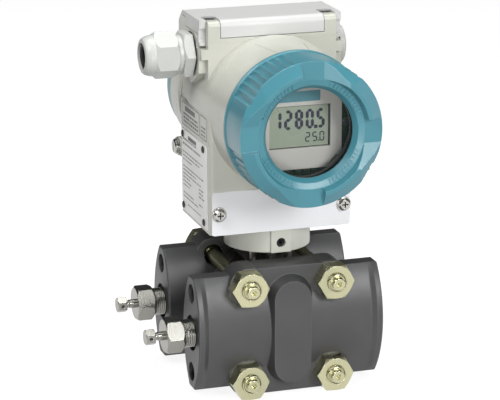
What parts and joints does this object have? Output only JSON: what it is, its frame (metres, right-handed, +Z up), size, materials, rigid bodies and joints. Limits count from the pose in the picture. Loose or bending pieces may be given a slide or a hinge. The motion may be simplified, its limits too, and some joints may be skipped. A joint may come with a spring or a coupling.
{
  "type": "differential pressure transmitter",
  "caption": "Process transmitter with swivelling two-chamber head, screwed window and terminal caps, local display under glass, hinged key cover, cable gland and bolted process flanges",
  "frame": {"origin": "centre of the four-hole bolt pattern on the right-hand process face, at the height of the pressure ports", "axes": "+X out of the right-hand process face along the flanges, +Y from the window towards the terminal cap, +Z up along the swivel axis"},
  "size_m": [0.1225, 0.1315, 0.1887],
  "materials": {
    "flange_grey": "satin dark grey coating on a forging",
    "stainless": "machined stainless steel",
    "zinc_yellow": "yellow passivated zinc plating",
    "cell_steel": "turned stainless steel",
    "housing_paint": "beige-grey epoxy powder on die-cast aluminium",
    "cap_teal": "glossy teal paint on die-cast aluminium",
    "window": "clear toughened glass",
    "black_rubber": "nitrile rubber",
    "ptfe_white": "filled PTFE",
    "plate_grey": "moulded plastic display frame",
    "lcd": "liquid crystal panel behind a polariser",
    "board_green": "solder mask on a circuit board",
    "module_black": "moulded black plastic",
    "cover_white": "near-white moulded cover",
    "key_rubber": "grey silicone key",
    "gland_grey": "light grey polyamide",
    "bright_plate": "brushed sheet",
    "rivet_black": "blackened drive rivet",
    "label_film": "printed film",
    "brass": "nickel-plated brass"
  },
  "bodies": {
    "process_body": {"front_process_flange": "flange_grey", "rear_process_flange": "flange_grey", "measuring_cell": "cell_steel", "isolating_diaphragms": "stainless", "process_gaskets": "ptfe_white", "cell_neck": "cell_steel", "neck_seal": "black_rubber", "flange_bolts": "zinc_yellow", "flange_nuts": "zinc_yellow", "front_vent_plug": "stainless", "rear_vent_plug": "stainless"},
    "front_vent": {"front_vent_screw": "stainless"},
    "rear_vent": {"rear_vent_screw": "stainless"},
    "front_cap_body": {"front_cap": "cap_teal", "window_glass": "window", "glass_retainer": "stainless"},
    "rear_cap_body": {"rear_cap": "cap_teal"},
    "key_cover_body": {"key_cover": "cover_white", "cover_hinge_pins": "stainless"},
    "mode_key_body": {"mode_key": "key_rubber"},
    "up_key_body": {"up_key": "key_rubber"},
    "down_key_body": {"down_key": "key_rubber"},
    "gland_nut_body": {"gland_dome_nut": "gland_grey"},
    "head": {"housing": "housing_paint", "neck_set_screw": "stainless", "front_cap_seal": "black_rubber", "rear_cap_seal": "black_rubber", "display_plate": "plate_grey", "lcd_panel": "lcd", "display_board": "board_green", "electronics_module": "module_black", "module_screws": "stainless", "terminal_block": "module_black", "terminal_screws": "brass", "cover_screws": "stainless", "gland_gasket": "black_rubber", "gland_body": "gland_grey", "gland_insert": "black_rubber", "blanking_plug": "gland_grey", "blanking_plug_gasket": "black_rubber", "name_plate": "bright_plate", "name_plate_rivets": "rivet_black", "side_label": "label_film", "label_plate": "cover_white", "label_plate_washers": "stainless", "label_plate_screws": "stainless", "ground_washer": "stainless", "ground_screw": "stainless"}
  },
  "joints": [
    {"name": "housing_swivel", "type": "hinge", "parent": "process_body", "child": "head", "pos_m": [-0.0491, 0, 0.04], "axis": [0, 0, 1], "range_deg": [-180, 180]},
    {"name": "front_cap_turn", "type": "hinge", "parent": "head", "child": "front_cap_body", "pos_m": [-0.0491, -0.055, 0.1088], "axis": [0, 1, 0], "continuous": true},
    {"name": "rear_cap_turn", "type": "hinge", "parent": "head", "child": "rear_cap_body", "pos_m": [-0.0491, 0.045, 0.1088], "axis": [0, 1, 0], "continuous": true},
    {"name": "key_cover_flap", "type": "hinge", "parent": "head", "child": "key_cover_body", "pos_m": [-0.0491, 0.0233, 0.1539], "axis": [-1, 0, 0], "range_deg": [0, 100]},
    {"name": "gland_nut_turn", "type": "hinge", "parent": "head", "child": "gland_nut_body", "pos_m": [-0.0991, 0.008, 0.136], "axis": [1, 0, 0], "continuous": true},
    {"name": "front_vent_turn", "type": "hinge", "parent": "process_body", "child": "front_vent", "pos_m": [-0.1141, -0.027, 0], "axis": [1, 0, 0], "continuous": true},
    {"name": "rear_vent_turn", "type": "hinge", "parent": "process_body", "child": "rear_vent", "pos_m": [-0.1141, 0.027, 0], "axis": [1, 0, 0], "continuous": true},
    {"name": "mode_key_press", "type": "slide", "parent": "head", "child": "mode_key_body", "axis": [0, 0, -1], "range_m": [0, 0.001], "stiffness_N_per_m": 600},
    {"name": "up_key_press", "type": "slide", "parent": "head", "child": "up_key_body", "axis": [0, 0, -1], "range_m": [0, 0.001], "stiffness_N_per_m": 600},
    {"name": "down_key_press", "type": "slide", "parent": "head", "child": "down_key_body", "axis": [0, 0, -1], "range_m": [0, 0.001], "stiffness_N_per_m": 600}
  ]
}
